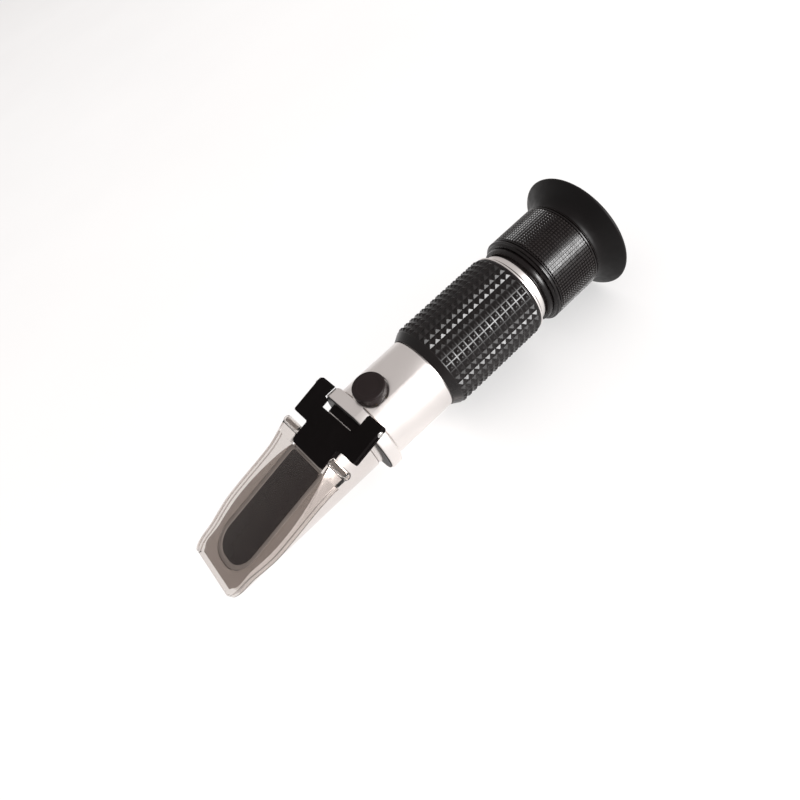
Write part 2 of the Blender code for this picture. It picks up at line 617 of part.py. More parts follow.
def build_focus_ring(tube_frame):
    flange_front, flange_rear, flange_bore, rear_bore = 86.65, 88.45, 8.5, 11.2
    ring_bore, spigot_radius, spigot_rear = NECK_RADIUS + 0.4, 14.0, 93.9
    lip = 0.45
    profile = [
        (RING_FRONT, ring_bore), (RING_FRONT, KNURL_RADIUS - 1.9), (RING_FRONT + 0.5, KNURL_RADIUS - 1.3),
        (RING_FRONT + 1.7, KNURL_RADIUS - 0.8), (KNURL_FRONT, KNURL_RADIUS),
        (KNURL_REAR - lip, KNURL_RADIUS - 0.25), (KNURL_REAR, KNURL_RADIUS - 0.25 - lip),
        (KNURL_REAR, spigot_radius), (spigot_rear, spigot_radius), (spigot_rear, rear_bore),
        (flange_rear, rear_bore), (flange_rear, flange_bore), (flange_front, flange_bore),
        (flange_front, ring_bore),
    ]
    make_object("focus_ring", turned(profile, 48), "black_anodised", tube_frame, (RING_FRONT, 0, 0))

    front, sleeve_bore, sleeve_rear = KNURL_REAR + GAP, 14.3, 94.2
    outside = [(front, 15.0), (92.2, 15.2), (93.6, 16.1), (95.0, 17.7), (96.3, 19.4),
               (97.0, 20.4), (EYECUP_RIM, EYECUP_RADIUS), (98.1, EYECUP_RADIUS - 0.35),
               (EYECUP_REAR, EYECUP_RADIUS - 1.0)]
    inside = [(EYECUP_REAR, EYECUP_RADIUS - 2.6), (96.9, 17.3), (95.4, 14.6), (sleeve_rear, 12.4),
              (sleeve_rear, sleeve_bore)]
    cup = outside + inside + [(front, sleeve_bore)]
    make_object("eyecup", turned(cup, 48), "black_rubber", tube_frame, (RING_FRONT, 0, 0))


def main():
    for existing in list(bpy.data.objects):
        bpy.data.objects.remove(existing)
    origin_x = (COLLAR_FRONT + COLLAR_REAR) / 2
    axis_frame = frame_empty("axis_frame", (-origin_x, 0, FLAT_HEIGHT), (0, 0, 0))
    face_frame = frame_empty("face_frame", (HINGE_X, 0, HINGE_Z), (0, -FACE_SLOPE, 0), axis_frame)
    tube_frame = frame_empty("tube_frame", (0, 0, 0), (TUBE_ROLL, 0, 0), axis_frame)
    build_head(axis_frame, face_frame)
    build_prism(face_frame)
    build_plate(face_frame)
    build_hinge(axis_frame, face_frame)
    build_collar(axis_frame)
    build_tube(tube_frame)
    build_grip(tube_frame)
    build_calibration(tube_frame)
    build_carriage(tube_frame)
    build_reticle(tube_frame)
    pin_x, pin_radius = build_neck(tube_frame)
    build_barrel(tube_frame, pin_x, pin_radius)
    build_focus_ring(tube_frame)


main()
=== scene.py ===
"""The looks of a handheld refractometer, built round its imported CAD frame.

Sizes are millimetres in three frames that match the CAD. The axis frame has X along the optical axis
towards the eye. The tube frame is the same one rolled about X. The face frame has its origin on the
plate's hinge axis and its X up the sloping prism face.
"""

import json
import math

import bmesh
import bpy
from mathutils import Matrix, Vector


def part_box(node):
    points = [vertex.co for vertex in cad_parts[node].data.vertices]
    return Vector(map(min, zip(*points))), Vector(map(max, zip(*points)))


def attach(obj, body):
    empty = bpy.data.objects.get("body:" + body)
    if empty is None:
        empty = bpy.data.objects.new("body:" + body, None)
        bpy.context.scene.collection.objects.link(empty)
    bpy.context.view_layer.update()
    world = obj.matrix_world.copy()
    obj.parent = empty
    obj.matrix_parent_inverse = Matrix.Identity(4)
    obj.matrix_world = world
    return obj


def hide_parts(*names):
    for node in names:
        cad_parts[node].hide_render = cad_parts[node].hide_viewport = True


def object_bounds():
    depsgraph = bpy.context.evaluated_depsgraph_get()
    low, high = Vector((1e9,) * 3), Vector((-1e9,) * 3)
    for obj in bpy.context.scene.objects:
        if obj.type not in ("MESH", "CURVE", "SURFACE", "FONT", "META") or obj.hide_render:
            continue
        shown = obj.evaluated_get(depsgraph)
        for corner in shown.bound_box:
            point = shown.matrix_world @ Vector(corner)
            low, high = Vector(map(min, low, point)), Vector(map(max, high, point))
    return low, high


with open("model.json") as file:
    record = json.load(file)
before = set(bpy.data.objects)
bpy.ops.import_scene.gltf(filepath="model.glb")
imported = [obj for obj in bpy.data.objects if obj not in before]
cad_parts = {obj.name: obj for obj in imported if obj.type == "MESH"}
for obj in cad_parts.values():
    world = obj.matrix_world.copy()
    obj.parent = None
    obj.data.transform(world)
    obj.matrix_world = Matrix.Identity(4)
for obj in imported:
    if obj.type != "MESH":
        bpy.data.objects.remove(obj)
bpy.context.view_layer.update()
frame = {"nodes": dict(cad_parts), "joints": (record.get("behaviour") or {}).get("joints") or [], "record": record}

MM = 0.001
JOINTS = {joint["name"]: joint for joint in frame["joints"]}
SLOTS = {part["node"]: part["material_slot"] for part in frame["record"]["subparts"]}
TAIL_REAR = 68.8            # the rear end of the bright ring, from the axis frame's origin
FACE_SLOPE = math.atan(0.2)
FACE_DROP = 1.4             # from the hinge axis down to the prism face

axis_height = JOINTS["focus_turn"]["pos_m"][2]
cap_axis = JOINTS["cap_pull"]["axis"]
AXIS_FRAME = Matrix.Translation((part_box("tail_ring")[1].x - TAIL_REAR * MM, 0, axis_height))
TUBE_FRAME = AXIS_FRAME @ Matrix.Rotation(math.atan2(-cap_axis[1], cap_axis[2]), 4, "X")
FACE_FRAME = Matrix.Translation(JOINTS["cover_hinge"]["pos_m"]) @ Matrix.Rotation(-FACE_SLOPE, 4, "Y")

# How many sides the turned pieces have.
FINE_ROUND = 180
ROUND = 144
CAP_ROUND = 96
BUSH_ROUND = 64
KNUCKLE_ROUND = 48
SCREW_ROUND = 40
KEY_ROUND = 32


# ---------------------------------------------------------------- mesh helpers

def arc(centre, radius, start, end, steps=6):
    """Points on an arc, with the angles in degrees."""
    for step in range(steps + 1):
        angle = math.radians(start + (end - start) * step / steps)
        yield centre[0] + radius * math.cos(angle), centre[1] + radius * math.sin(angle)


def rounded(corners, steps=5, closed=True):
    """An outline whose corners (a, b, radius) are rounded; a corner without a radius stays sharp."""
    made = []
    count = len(corners)
    for index, corner in enumerate(corners):
        here = Vector(corner[:2])
        radius = corner[2] if len(corner) > 2 else 0
        if not radius or not closed and index in (0, count - 1):
            made.append(tuple(here))
            continue
        before = (Vector(corners[index - 1][:2]) - here).normalized()
        after = (Vector(corners[(index + 1) % count][:2]) - here).normalized()
        half = before.angle(after) / 2
        reach = radius / math.tan(half)
        centre = here + (before + after).normalized() * radius / math.sin(half)
        first, last = here + before * reach - centre, here + after * reach - centre
        turn = math.atan2(first.x * last.y - first.y * last.x, first.dot(last))
        for step in range(steps + 1):
            spoke = Matrix.Rotation(turn * step / steps, 2) @ first
            made.append(tuple(centre + spoke))
    return made


def smooth(points, steps):
    """A Catmull-Rom curve through the points."""
    ends = [2 * Vector(points[0]) - Vector(points[1])], [2 * Vector(points[-1]) - Vector(points[-2])]
    knots = ends[0] + [Vector(point) for point in points] + ends[1]
    made = []
    for p0, p1, p2, p3 in zip(knots, knots[1:], knots[2:], knots[3:]):
        for step in range(steps):
            t = step / steps
            made.append(0.5 * (2 * p1 + (p2 - p0) * t + (2 * p0 - 5 * p1 + 4 * p2 - p3) * t ** 2
                               + (3 * p1 - p0 - 3 * p2 + p3) * t ** 3))
    return [tuple(point) for point in made] + [tuple(points[-1])]


def curved(stations, x):
    """The value at x on a smooth curve through the stations (x, value)."""
    steepness = [(b - a) / (x1 - x0) for (x0, a), (x1, b) in zip(stations, stations[1:])]
    slopes = [steepness[0], *((a + b) / 2 for a, b in zip(steepness, steepness[1:])), steepness[-1]]
    spans = zip(stations, stations[1:], slopes, slopes[1:])
    for (x0, value0), (x1, value1), slope0, slope1 in spans:
        if x <= x1:
            width = x1 - x0
            t = (x - x0) / width
            return ((1 + 2 * t) * (1 - t) ** 2 * value0 + t * t * (3 - 2 * t) * value1
                    + width * t * (1 - t) * ((1 - t) * slope0 - t * slope1))
    return stations[-1][1]


def sampled(stations, steps):
    """Points on that curve, with each span cut into equal steps."""
    places = [x0 + (x1 - x0) * step / steps for (x0, _), (x1, _) in zip(stations, stations[1:])
              for step in range(steps)]
    return [(x, curved(stations, x)) for x in (*places, stations[-1][0])]


def mirrored(half):
    """A closed outline from the points of its +Y half."""
    return list(half) + [(x, -y) for x, y in reversed(half)]


def on_axis(axis, along, across, up, centre):
    """The point at these distances along and from an axis through the centre."""
    if axis == "X":
        return Vector((along, centre[0] + across, centre[1] + up))
    if axis == "Y":
        return Vector((centre[0] + across, along, centre[1] + up))
    return Vector((centre[0] + across, centre[1] + up, along))


def turned(profile, segments=ROUND, axis="X", centre=(0, 0)):
    """A mesh turned from (along, radius) points: a ring of wall, or a solid where they reach radius 0."""
    on_line = 1e-6
    bm = bmesh.new()
    rings = []
    for along, radius in profile:
        if radius < on_line:
            rings.append([bm.verts.new(on_axis(axis, along, 0, 0, centre))])
            continue
        angles = [2 * math.pi * step / segments for step in range(segments)]
        rings.append([
            bm.verts.new(on_axis(axis, along, radius * math.sin(a), radius * math.cos(a), centre))
            for a in angles
        ])
    hollow = profile[0][1] > on_line
    pairs = list(zip(rings, rings[1:] + rings[:1])) if hollow else list(zip(rings, rings[1:]))
    for first, second in pairs:
        for step in range(segments):
            after = (step + 1) % segments
            corners = [first[step % len(first)], first[after % len(first)],
                       second[after % len(second)], second[step % len(second)]]
            bm.faces.new(list(dict.fromkeys(corners)))
    return bm


def rod(low, high, radius, segments=ROUND, axis="X", centre=(0, 0)):
    """A plain cylinder, the tool for a round hole or recess."""
    return turned([(low, 0), (low, radius), (high, radius), (high, 0)], segments, axis, centre)


def extruded(outline, low, high):
    """An (x, y) outline raised from low to high."""
    bm = bmesh.new()
    face = bm.faces.new([bm.verts.new((x, y, low)) for x, y in outline])
    raised = bmesh.ops.extrude_face_region(bm, geom=[face])["geom"]
    verts = [item for item in raised if isinstance(item, bmesh.types.BMVert)]
    bmesh.ops.translate(bm, verts=verts, vec=(0, 0, high - low))
    return bm


def box(low, high):
    """A block between two opposite corners."""
    return extruded([(low[0], low[1]), (high[0], low[1]), (high[0], high[1]), (low[0], high[1])],
                    low[2], high[2])


def lofted(sections):
    """A mesh through closed sections with equally many points."""
    bm = bmesh.new()
    rings = [[bm.verts.new(point) for point in section] for section in sections]
    for first, second in zip(rings, rings[1:]):
        for i in range(len(first)):
            after = (i + 1) % len(first)
            bm.faces.new((first[i], first[after], second[after], second[i]))
    bm.faces.new(rings[0])
    bm.faces.new(rings[-1])
    return bm


def as_object(name, bm, place):
    """An object from a mesh in millimetres of one of the frames."""
    bmesh.ops.recalc_face_normals(bm, faces=bm.faces)
    bmesh.ops.transform(bm, matrix=place @ Matrix.Scale(MM, 4), verts=bm.verts)
    mesh = bpy.data.meshes.new(name)
    bm.to_mesh(mesh)
    bm.free()
    made = bpy.data.objects.new(name, mesh)
    bpy.context.scene.collection.objects.link(made)
    return made


def applied(obj):
    """Replaces the object's mesh with the one that its modifiers make."""
    depsgraph = bpy.context.evaluated_depsgraph_get()
    mesh = bpy.data.meshes.new_from_object(obj.evaluated_get(depsgraph))
    obj.modifiers.clear()
    obj.data = mesh
    return obj


def shaped(target, tool_mesh, place, operation="DIFFERENCE"):
    """Cuts the tool from the target, or joins it."""
    tool = as_object("tool", tool_mesh, place)
    modifier = target.modifiers.new("shape", "BOOLEAN")
    modifier.operation = operation
    modifier.solver = "EXACT"
    modifier.object = tool
    applied(target)
    bpy.data.objects.remove(tool)


def softened(obj, width, segments=2, angle=32):
    """Rounds the edges sharper than the angle."""
    bevel = obj.modifiers.new("soft_edges", "BEVEL")
    bevel.width = width * MM
    bevel.segments = segments
    bevel.limit_method = "ANGLE"
    bevel.angle_limit = math.radians(angle)
    return applied(obj)


def finished(obj, finish, body, *nodes, sharp=38, slot=None):
    """Gives the piece its material, its body and the CAD nodes that it stands for; the slot is not used."""
    obj.data.materials.clear()
    obj.data.materials.append(finish)
    obj.data.shade_smooth()
    obj.data.set_sharp_from_angle(angle=math.radians(sharp))
    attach(obj, body)
    if nodes:
        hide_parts(*nodes)


# ---------------------------------------------------------------- materials

class Graph:
    """A small builder for one material's nodes."""

    def __init__(self, name):
        self.material = bpy.data.materials.new(name)
        self.material.use_nodes = True
        self.tree = self.material.node_tree
        self.shader = self.tree.nodes["Principled BSDF"]

    def node(self, kind, **settings):
        made = self.tree.nodes.new(kind)
        for key, value in settings.items():
            setattr(made, key, value)
        return made

    def link(self, output, target):
        self.tree.links.new(output, target)

    def feed(self, output, name):
        """Links an output to one of the shader's own sockets."""
        self.link(output, self.shader.inputs[name])

    def constant(self, **values):
        """Sets the shader's own sockets."""
        for key, value in values.items():
            self.shader.inputs[key.replace("_", " ")].default_value = value

    def coordinates(self, stretch):
        source = self.node("ShaderNodeTexCoord")
        mapping = self.node("ShaderNodeMapping")
        mapping.inputs["Scale"].default_value = stretch
        self.link(source.outputs["Object"], mapping.inputs["Vector"])
        return mapping.outputs["Vector"]

    def noise(self, scale, stretch=(1, 1, 1), detail=4.0):
        texture = self.node("ShaderNodeTexNoise")
        texture.inputs["Scale"].default_value = scale
        texture.inputs["Detail"].default_value = detail
        texture.inputs["Roughness"].default_value = 0.55
        self.link(self.coordinates(stretch), texture.inputs["Vector"])
        return texture.outputs["Fac"]

    def ranged(self, value, low, high, start=0.3, end=0.7):
        """The value, from start to end, mapped onto low to high."""
        mapped = self.node("ShaderNodeMapRange")
        mapped.inputs["From Min"].default_value = start
        mapped.inputs["From Max"].default_value = end
        mapped.inputs["To Min"].default_value = low
        mapped.inputs["To Max"].default_value = high
        self.link(value, mapped.inputs["Value"])
        return mapped.outputs["Result"]

    def colours(self, value, low, high, start=0.3, end=0.7):
        """A blend from the low colour to the high one as the value goes from start to end."""
        ramp = self.node("ShaderNodeValToRGB")
        ramp.color_ramp.elements[0].position = start
        ramp.color_ramp.elements[1].position = end
        ramp.color_ramp.elements[0].color = (*low, 1)
        ramp.color_ramp.elements[1].color = (*high, 1)
        self.link(value, ramp.inputs["Fac"])
        return ramp.outputs["Color"]

    def lightened(self, colour, share, target):
        """The colour, moved towards the target by a share that varies."""
        first_colour, second_colour, result = 6, 7, 2
        mix = self.node("ShaderNodeMix", data_type="RGBA")
        self.link(share, mix.inputs["Factor"])
        self.link(colour, mix.inputs[first_colour])
        mix.inputs[second_colour].default_value = (*target, 1)
        return mix.outputs[result]

    def bump(self, height, distance, below=None):
        """A normal bumped by the height, on top of the bump below it."""
        bump = self.node("ShaderNodeBump")
        bump.inputs["Distance"].default_value = distance * MM
        bump.inputs["Strength"].default_value = 1.0
        self.link(height, bump.inputs["Height"])
        if below:
            self.link(below, bump.inputs["Normal"])
        return bump.outputs["Normal"]

    def ridges(self, share):
        """The share on the mesh's sharp ridges, and zero elsewhere."""
        geometry = self.node("ShaderNodeNewGeometry")
        return self.ranged(geometry.outputs["Pointiness"], 0.0, share, 0.52, 0.62)


def metal(name, dark, light, roughness, grain=(1, 1, 1), grain_scale=2500, depth=0.004):
    """Satin metal: blasted grain, faint lathe rings where the grain is stretched, and clouded sheen."""
    g = Graph(name)
    fine = g.noise(grain_scale, grain, detail=3)
    speckle = g.noise(5200, detail=2)
    cloud = g.noise(70, detail=3)
    g.feed(g.colours(cloud, dark, light), "Base Color")
    g.feed(g.ranged(g.noise(900, detail=5), roughness - 0.02, roughness + 0.02), "Roughness")
    rings = g.bump(fine, depth * 0.4)
    g.feed(g.bump(speckle, depth * 0.25, below=rings), "Normal")
    g.constant(Metallic=1.0)
    return g.material


def plastic(name, colour, light, roughness, grain_scale=1800, depth=0.006, specular=0.5, wear=None):
    """Moulded plastic or rubber: fine texture, dull and shiny patches, paler where edges are rubbed."""
    g = Graph(name)
    base = g.colours(g.noise(120, detail=5), colour, light)
    if wear:
        base = g.lightened(base, g.ridges(0.5), wear)
    g.feed(base, "Base Color")
    g.feed(g.ranged(g.noise(420, detail=5), roughness - 0.06, roughness + 0.08), "Roughness")
    g.feed(g.bump(g.noise(grain_scale), depth), "Normal")
    g.constant(Specular_IOR_Level=specular)
    return g.material


def clear(name, low, high, roughness, ior, transmission=1.0, specular=0.5):
    """Clear plastic or glass with faint smears in its surface."""
    g = Graph(name)
    smear = g.noise(90, (1, 0.4, 1), detail=6)
    g.feed(g.colours(smear, low, high), "Base Color")
    g.feed(g.ranged(g.noise(350, detail=6), roughness * 0.6, roughness * 1.6), "Roughness")
    g.constant(Transmission_Weight=transmission, IOR=ior, Specular_IOR_Level=specular)
    return g.material


LATHE_RINGS = (1, 0.02, 0.02)       # grain in rings round the optical axis
# This copy of satin aluminium has a darker base than the turned one: painted shade on the head's greyer sides.
ALUMINIUM = metal("satin_aluminium", (0.67, 0.63, 0.61), (0.71, 0.67, 0.65), 0.25)
TURNED_ALUMINIUM = metal("turned_aluminium", (0.76, 0.72, 0.70), (0.80, 0.76, 0.74), 0.34,
                         LATHE_RINGS, 5200)
STEEL = metal("plain_steel", (0.50, 0.49, 0.48), (0.60, 0.59, 0.58), 0.24,
              grain_scale=4000, depth=0.002)
BRASS = metal("plain_brass", (0.66, 0.47, 0.20), (0.78, 0.58, 0.28), 0.30,
              grain_scale=3000, depth=0.002)
BLOCK = plastic("black_plastic", (0.0012, 0.0005, 0.0004), (0.002, 0.001, 0.001), 0.66,
                1400, 0.003, 0.07)
GRIP = plastic("grip_rubber", (0.0018, 0.0008, 0.0008), (0.003, 0.0016, 0.0016), 0.30,
               1900, 0.002, 0.30, wear=(0.06, 0.05, 0.048))
SOFT = plastic("soft_rubber", (0.0012, 0.0005, 0.0005), (0.002, 0.0011, 0.0011), 0.46,
               1500, 0.005, 0.19)
CAP = plastic("cap_rubber", (0.008, 0.0048, 0.0048), (0.012, 0.008, 0.008), 0.42,
              2600, 0.005, 0.16)
ANODISED = plastic("black_anodised", (0.002, 0.001, 0.001), (0.0035, 0.002, 0.002), 0.25,
                   4200, 0.002, 0.24, wear=(0.07, 0.06, 0.057))
INNER_BLACK = plastic("inner_black", (0.006, 0.005, 0.005), (0.010, 0.008, 0.008), 0.55, 3000, 0.005)
SEALANT = plastic("grey_sealant", (0.15, 0.13, 0.12), (0.20, 0.175, 0.16), 0.50, 1500, 0.010)
# The acrylic's brown tint is partly its own colour and partly painted shade: it darkens the head and prism seen
# through the plate, which casts no shadow.
ACRYLIC = clear("clear_acrylic", (0.69, 0.645, 0.615), (0.73, 0.685, 0.655), 0.01, 1.33, specular=0.22)
PRISM = clear("prism_glass", (0.008, 0.004, 0.0035), (0.013, 0.007, 0.006), 0.05, 1.5, 0.0, 0.12)
LENS = clear("coated_glass", (0.80, 0.84, 0.88), (0.86, 0.90, 0.93), 0.02, 1.52)


# ---------------------------------------------------------------- head and prism

HEAD_RADIUS = 11.0
TABLE_HALF_WIDTHS = [(-46.0, 9.6), (-45.2, 10.2), (-38.2, 11.9), (-30.0, 13.6), (-26.0, 13.9),
                     (-20.0, 13.7), (-11.5, 12.4), (-5.0, 10.4), (-2.4, 8.9)]
WINDOW_HALF = 7.55
WINDOW_FRONT, WINDOW_REAR = -41.0, -5.0
WINDOW_FRONT_CORNER, WINDOW_REAR_CORNER = 6.4, 1.0
SEAL_WIDTH = 1.5


def window_outline(spread):
    """The prism's outline on the face, grown by spread: a rectangle whose front end is round."""
    half = WINDOW_HALF + spread
    front_corner, rear_corner = WINDOW_FRONT_CORNER + spread, WINDOW_REAR_CORNER + spread
    front = list(arc((WINDOW_FRONT + WINDOW_FRONT_CORNER, half - front_corner), front_corner, 90, 180, 20))
    rear = list(arc((WINDOW_REAR - WINDOW_REAR_CORNER, half - rear_corner), rear_corner, 0, 90, 6))
    return mirrored(rear + front)


def prism_mesh(spread, rise=0.0):
    """The prism, whose underside drops towards the eye, grown by spread and raised by rise."""
    front_depth, rear_depth = 2.6, 8.6
    bm = extruded(window_outline(spread), -rear_depth, -FACE_DROP + rise)
    for vert in bm.verts:
        if vert.co.z < -rear_depth + 0.1:
            share = (vert.co.x - WINDOW_FRONT) / (WINDOW_REAR - WINDOW_FRONT)
            vert.co.z = -FACE_DROP - front_depth - (rear_depth - front_depth) * share - spread
    return bm


def head_profile():
    """The round head: its nose, a fine groove near the rear, a spigot and a stepped bore."""
    front, nose_corner, rear = -56.6, 3.0, 0.5
    groove_floor = HEAD_RADIUS - 0.3
    spigot_radius, spigot_rear = 9.7, 5.5
    wide_bore, step_at = 7.5, -6.0
    narrow_bore, bore_front = 5.2, -19.0
    return rounded([
        (front, 0), (front, HEAD_RADIUS, nose_corner), (-2.05, HEAD_RADIUS, 0.2),
        (-1.75, groove_floor, 0.1), (-1.25, groove_floor, 0.1), (-0.95, HEAD_RADIUS, 0.2),
        (rear, HEAD_RADIUS, 0.15), (rear, spigot_radius), (spigot_rear, spigot_radius),
        (spigot_rear, wide_bore), (step_at, wide_bore), (step_at, narrow_bore),
        (bore_front, narrow_bore), (bore_front, 0),
    ], 6, closed=False)


def table_mesh():
    """The wide table round the prism, which narrows as it goes down into the round head."""
    depth, above, narrowing, shortening, middle = 5.2, 2, 0.72, 0.93, -24
    outline = mirrored(sampled(TABLE_HALF_WIDTHS, 5)[::-1])
    table = extruded(outline, -FACE_DROP - depth, -FACE_DROP + above)
    for vert in table.verts:
        if vert.co.z < -FACE_DROP - 1:
            vert.co.y *= narrowing
            vert.co.x = middle + (vert.co.x - middle) * shortening
    return table


def face_cutter():
    """All that lies above the sloping face, as far as an upright shoulder behind the hinge."""
    front, half, shoulder, top = -60, 30, 10.5, 40
    above = box((front, -half, -FACE_DROP), (shoulder / math.cos(FACE_SLOPE), half, top))
    for vert in above.verts:
        if vert.co.x > 0 and vert.co.z > 0:
            vert.co.x += math.tan(FACE_SLOPE) * (top + FACE_DROP)
    return above


def build_head():
    seat_spread, seat_depth, seat_top = 1.8, 1.8, 2
    head = as_object("head", turned(head_profile()), AXIS_FRAME)
    shaped(head, table_mesh(), FACE_FRAME, "UNION")
    shaped(head, face_cutter(), FACE_FRAME)
    shaped(head, extruded(window_outline(seat_spread), -FACE_DROP - seat_depth, seat_top), FACE_FRAME)
    shaped(head, prism_mesh(0.3, rise=4), FACE_FRAME)
    finished(softened(head, 0.16, 3, 30), ALUMINIUM, "body", "prism_head")


def build_prism():
    prism = softened(as_object("glass_prism", prism_mesh(0), FACE_FRAME), 0.18, 3, 30)
    finished(prism, PRISM, "body", "prism")


def build_prism_seal():
    depth, drop, clearance = 1.5, 0.06, 0.12
    outline = window_outline(SEAL_WIDTH)
    seal = as_object("prism_seal", extruded(outline, -FACE_DROP - depth, -FACE_DROP - drop), FACE_FRAME)
    shaped(seal, extruded(window_outline(clearance), -6, 2), FACE_FRAME)
    finished(softened(seal, 0.10, 2, 30), SEALANT, "body", "prism_gasket")


# ---------------------------------------------------------------- daylight plate

PLATE_HALF_WIDTHS = [(-46.6, 10.9), (-46.0, 11.6), (-38.2, 13.3), (-31.5, 14.9), (-29.0, 15.25),
                     (-24.0, 15.4), (-9.6, 15.5), (-6.5, 15.9), (-3.0, 16.7), (0.0, 17.2)]
PLATE_THICK = 1.6
PLATE_UNDER = -FACE_DROP + 0.3
PLATE_TOP = PLATE_UNDER + PLATE_THICK
PLATE_BEND, PLATE_CLIMB = -9.6, 0.06
WEB_REAR = -4.2
EAR_INNER, EAR_OUTER = 9.1, 17.2
KNUCKLE_RADIUS = 1.35
PIN_HOLE = 0.72


def climb(x):
    """How much the plate has risen at x, behind the bend near its hinge."""
    return max(0.0, x - PLATE_BEND) * PLATE_CLIMB


def plate_section(x):
    """The plate's cross-section at x: a flat web with a lip down each side."""
    lip_width, lip_bottom = 1.0, PLATE_TOP - 2.4
    half = curved(PLATE_HALF_WIDTHS, x)
    side = rounded([
        (0, PLATE_UNDER), (half - lip_width, PLATE_UNDER, 0.35), (half - lip_width, lip_bottom, 0.22),
        (half, lip_bottom, 0.22), (half, PLATE_TOP, 0.28), (0, PLATE_TOP),
    ], 3, closed=False)[1:-1]
    return [(x, y, z + climb(x)) for y, z in mirrored_across(side)]


def mirrored_across(side):
    """A closed section from the points of its +Y side."""
    return side + [(-y, z) for y, z in reversed(side)]


def arm_mesh(side):
    """The arm that joins the web to a knuckle, on one side of the block's tongue."""
    front, inset = WEB_REAR - 2.0, 0.07
    outline = [(front, EAR_INNER), (0.0, EAR_INNER), (0.0, EAR_OUTER), (-1.5, EAR_OUTER - 0.2),
               (front, curved(PLATE_HALF_WIDTHS, front) - 0.05)]
    arm = extruded([(x, side * y) for x, y in outline], PLATE_UNDER + inset, PLATE_TOP - inset)
    for vert in arm.verts:
        vert.co.z += climb(vert.co.x)
    return arm


def knuckle_mesh(side):
    """A round knuckle, whose ends stand just past its arm's."""
    inner, outer = side * (EAR_INNER - 0.03), side * (EAR_OUTER + 0.1)
    profile = rounded([(inner, 0), (inner, KNUCKLE_RADIUS, 0.3), (outer, KNUCKLE_RADIUS, 0.4), (outer, 0)],
                      4, closed=False)
    return turned(profile, KNUCKLE_ROUND, "Y")


def build_plate():
    last_station = WEB_REAR - 0.2
    stations = [x for x, _ in sampled(PLATE_HALF_WIDTHS, 10) if x < last_station] + [WEB_REAR]
    plate = as_object("clear_plate", lofted([plate_section(x) for x in stations]), FACE_FRAME)
    for side in (1, -1):
        shaped(plate, arm_mesh(side), FACE_FRAME, "UNION")
        shaped(plate, knuckle_mesh(side), FACE_FRAME, "UNION")
    shaped(plate, rod(-20, 20, PIN_HOLE, SCREW_ROUND, "Y"), FACE_FRAME)
    finished(plate, ACRYLIC, "cover", "daylight_plate", sharp=50)
    plate.visible_shadow = False
    plate.visible_diffuse = False


# ---------------------------------------------------------------- hinge block

BLOCK_UNDER, BLOCK_TOP = -FACE_DROP + 0.3, 1.0
LOBE_FRONT, LOBE_REAR = 3.75, 17.0
LOBE_INNER, LOBE_OUTER = 9.4, 16.6
CENTRE_REAR = 9.9                   # where the block's middle ends, between the lobes
SCREW_AT = (LOBE_REAR - 2.3, 0.02)


def block_outline():
    """The block from above: a tongue between the knuckles and two lobes beside the collar."""
    corner, tongue_front, tongue_half = 1.3, -3.5, 8.6
    half = rounded([
        (LOBE_REAR, LOBE_INNER), (LOBE_REAR, LOBE_OUTER, corner), (LOBE_FRONT, LOBE_OUTER, 0.7),
        (LOBE_FRONT, tongue_half + 0.45, 0.3), (LOBE_FRONT - 0.4, tongue_half, 0.2),
        (tongue_front, tongue_half, corner), (tongue_front, 0),
    ], 6, closed=False)[:-1]
    return mirrored(half) + [(CENTRE_REAR, -LOBE_INNER), (CENTRE_REAR, LOBE_INNER)]


def lobe_chamfer(side):
    """Cuts the slope at the rear edge of a lobe."""
    slope = (Matrix.Translation((LOBE_REAR - 0.2, side * 13.2, BLOCK_TOP))
             @ Matrix.Rotation(math.radians(38), 4, "Y") @ Matrix.Translation((0, 0, -0.35)))
    chamfer = box((-2, -6, 0), (2, 6, 2))
    bmesh.ops.transform(chamfer, matrix=slope, verts=chamfer.verts)
    return chamfer


def lobe_groove(side):
    """Cuts the fine groove along a lobe's outer side."""
    depth, low, high = 0.25, -0.35, 0.0
    return box((LOBE_FRONT - 1, side * LOBE_OUTER - depth, low),
               (LOBE_REAR + 1, side * LOBE_OUTER + depth, high))


def build_block():
    ledge_rear, ledge_end, ledge_top = 13.4, 4.4, 0.72
    slit_front, slit_rear, slit_end = CENTRE_REAR + 0.05, CENTRE_REAR + 0.4, -7.6
    block = as_object("hinge_saddle", extruded(block_outline(), BLOCK_UNDER, BLOCK_TOP), FACE_FRAME)
    # The ledge fills the recess in front of the collar with black plastic: partly the block's own web, partly
    # painted shade in that recess.
    ledge = box((CENTRE_REAR - 0.5, -LOBE_INNER - 0.5, BLOCK_UNDER), (ledge_rear, ledge_end, ledge_top))
    shaped(block, ledge, FACE_FRAME, "UNION")
    shaped(block, box((slit_front, slit_end, BLOCK_UNDER - 1), (slit_rear, LOBE_INNER, 3)), FACE_FRAME)
    shaped(block, rod(-12, 12, PIN_HOLE, SCREW_ROUND, "Y"), FACE_FRAME)
    collar_room = rod(-0.1, 9, COLLAR_RADIUS + 0.3)
    shaped(block, collar_room, AXIS_FRAME)
    head_room = rod(-2.1, 9, HEAD_RADIUS + 0.06)
    shaped(block, head_room, AXIS_FRAME)
    for side in (1, -1):
        shaped(block, lobe_chamfer(side), FACE_FRAME)
        shaped(block, lobe_groove(side), FACE_FRAME)
        shaped(block, rod(side * 12, side * 20, 0.74, SCREW_ROUND, "Y", SCREW_AT), FACE_FRAME)
    finished(softened(block, 0.20, 3, 30), BLOCK, "body", "hinge_block")


